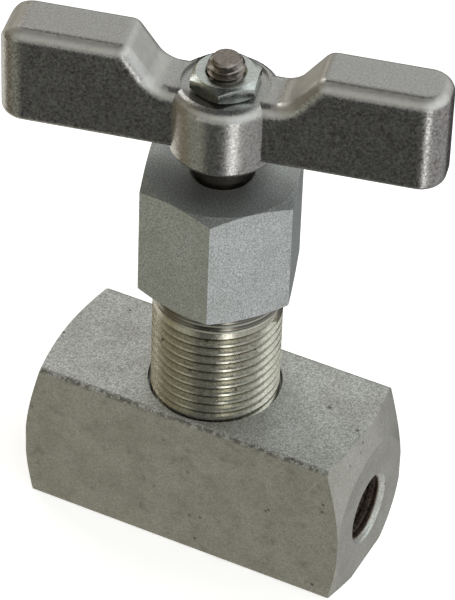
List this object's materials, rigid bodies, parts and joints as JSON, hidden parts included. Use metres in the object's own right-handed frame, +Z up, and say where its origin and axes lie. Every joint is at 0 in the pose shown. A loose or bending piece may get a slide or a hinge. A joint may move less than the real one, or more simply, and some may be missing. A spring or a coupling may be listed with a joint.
{
  "type": "needle valve",
  "caption": "Hand-operated needle valve: a threaded bar-stock body, a panel-threaded hexagonal bonnet, and a T-handle stem that screws a swivelling needle down onto its seat.",
  "frame": {"origin": "middle of the body's underside, on the stem axis", "axes": "+X along the pipe axis towards the outlet port, +Z up the stem towards the handle, +Y to the rear of the body, where the bonnet lock pin is"},
  "size_m": [0.0734, 0.0278, 0.0994],
  "materials": {
    "body_steel": "fine-blasted and zinc-plated, slightly sparkling, no shine",
    "bonnet_steel": "fine-blasted and zinc-plated, thread crests bright",
    "seat_steel": "machined stainless steel",
    "ptfe": "white fluoropolymer",
    "adapter_ptfe": "filled fluoropolymer, tan grey",
    "gland_steel": "machined steel",
    "pin_steel": "ground steel pin",
    "wiper_rubber": "black nitrile rubber",
    "stem_steel": "machined stainless steel, brownish sheen",
    "needle_steel": "hardened and ground steel",
    "ball_steel": "polished bearing steel",
    "handle_casting": "tumbled bare die casting, darker on its flanks",
    "nut_steel": "bright zinc plating, bluish green"
  },
  "bodies": {
    "valve": {"valve_body": "body_steel", "seat_insert": "seat_steel", "seat_seal": "ptfe", "bonnet_gasket": "ptfe", "bonnet": "bonnet_steel", "bonnet_lock_pin": "pin_steel", "packing_gland": "gland_steel", "packing_bottom_adapter": "adapter_ptfe", "packing_ring_lower": "ptfe", "packing_ring_middle": "ptfe", "packing_ring_upper": "ptfe", "packing_top_adapter": "adapter_ptfe", "packing_washer": "gland_steel", "stem_wiper": "wiper_rubber"},
    "needle": {"needle": "needle_steel"},
    "stem": {"stem": "stem_steel", "thrust_ball": "ball_steel", "swivel_pins": "pin_steel", "t_handle": "handle_casting", "handle_nut": "nut_steel"}
  },
  "joints": [
    {"name": "stem_lift", "type": "slide", "parent": "valve", "child": "needle", "axis": [0, 0, 1], "range_m": [-0.00175, 0.00413]},
    {"name": "handle_turn", "type": "hinge", "parent": "needle", "child": "stem", "pos_m": [0, 0, 0.085], "axis": [0, 0, 1], "range_deg": [-495, 1170]}
  ],
  "couplings": [
    {"joint": "stem_lift", "follows": "handle_turn", "m_per_rad": 0.00020213}
  ]
}
